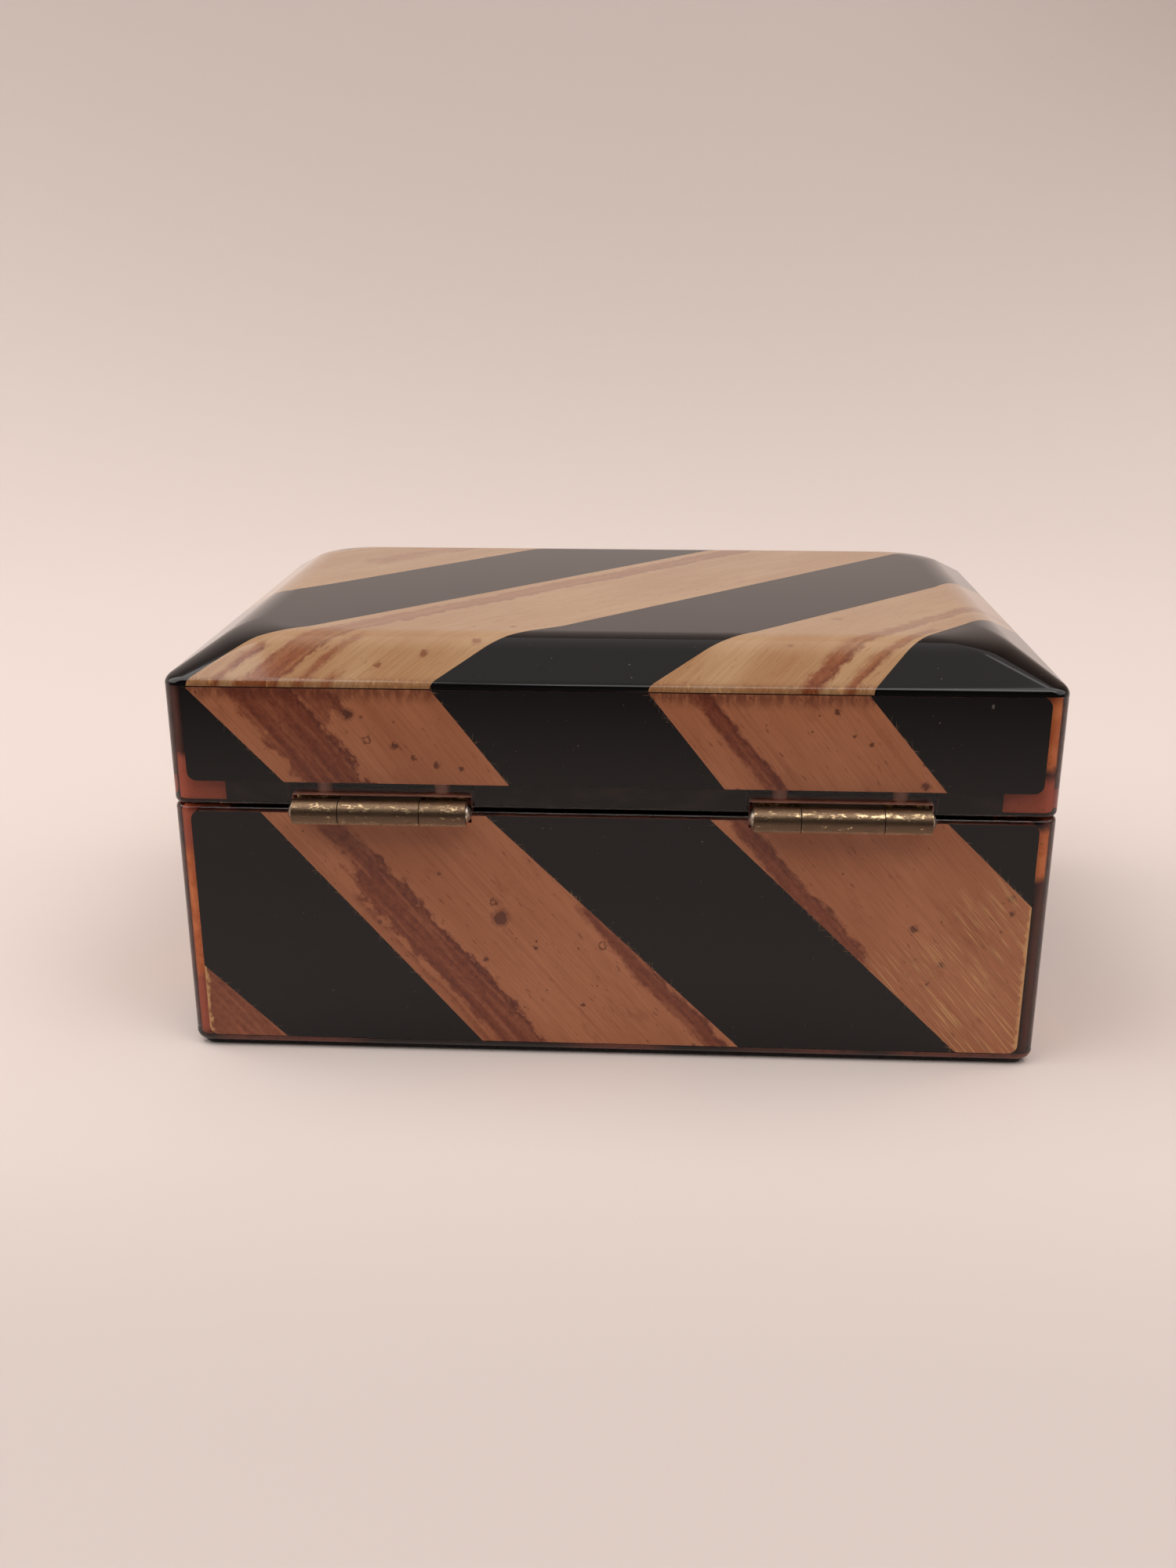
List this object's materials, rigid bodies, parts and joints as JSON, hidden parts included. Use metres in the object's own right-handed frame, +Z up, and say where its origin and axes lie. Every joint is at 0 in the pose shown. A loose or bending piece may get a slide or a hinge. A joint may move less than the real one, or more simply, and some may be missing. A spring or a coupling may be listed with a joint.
{
  "type": "keepsake box",
  "caption": "Rectangular resin keepsake box with a hinged domed lid, diagonal bark and black strips under a clear coat, black lining, brass butt hinges and a felt foot.",
  "frame": {"origin": "middle of the felt's underside, under the middle of the resin body; the table surface is z = 0", "axes": "+Z up; -Y is the front, the side that opens; +Y is the hinge side; +X is to the right as seen from the front"},
  "size_m": [0.1524, 0.1096, 0.0758],
  "materials": {
    "resin_core": "cast amber resin, translucent at the corners",
    "resin_coat": "clear amber resin, polished",
    "bark": "thin straight-fibred bark, tan with red-brown stains",
    "black_sheet": "near-black sheet under gloss, with fine specks",
    "lining": "black, satin",
    "felt": "short black felt",
    "brass": "tarnished, with bright worn patches",
    "brass_bright": "worn bright"
  },
  "bodies": {
    "base": {"base_core": "resin_core", "base_coat": "resin_coat", "felt_pad": "felt", "base_front_bark": "bark", "base_right_bark": "bark", "base_rear_bark": "bark", "base_left_bark": "bark", "base_front_black": "black_sheet", "base_right_black": "black_sheet", "base_rear_black": "black_sheet", "base_left_black": "black_sheet", "base_floor_lining": "lining", "base_front_lining": "lining", "base_right_lining": "lining", "base_rear_lining": "lining", "base_left_lining": "lining", "left_hinge_base_leaf": "brass", "left_hinge_pin": "brass_bright", "left_hinge_base_screws": "brass_bright", "right_hinge_base_leaf": "brass", "right_hinge_pin": "brass_bright", "right_hinge_base_screws": "brass_bright"},
    "lid": {"lid_core": "resin_core", "lid_coat": "resin_coat", "lid_front_bark": "bark", "lid_right_bark": "bark", "lid_rear_bark": "bark", "lid_left_bark": "bark", "lid_top_bark": "bark", "lid_front_black": "black_sheet", "lid_right_black": "black_sheet", "lid_rear_black": "black_sheet", "lid_left_black": "black_sheet", "lid_top_black": "black_sheet", "lid_ceiling_lining": "lining", "lid_front_lining": "lining", "lid_right_lining": "lining", "lid_rear_lining": "lining", "lid_left_lining": "lining", "left_hinge_lid_leaf": "brass", "left_hinge_lid_screws": "brass_bright", "right_hinge_lid_leaf": "brass", "right_hinge_lid_screws": "brass_bright"}
  },
  "joints": [
    {"name": "lid_hinge", "type": "hinge", "parent": "base", "child": "lid", "pos_m": [0, 0.05465, 0.04715], "axis": [-1, 0, 0], "range_deg": [0, 180]}
  ]
}
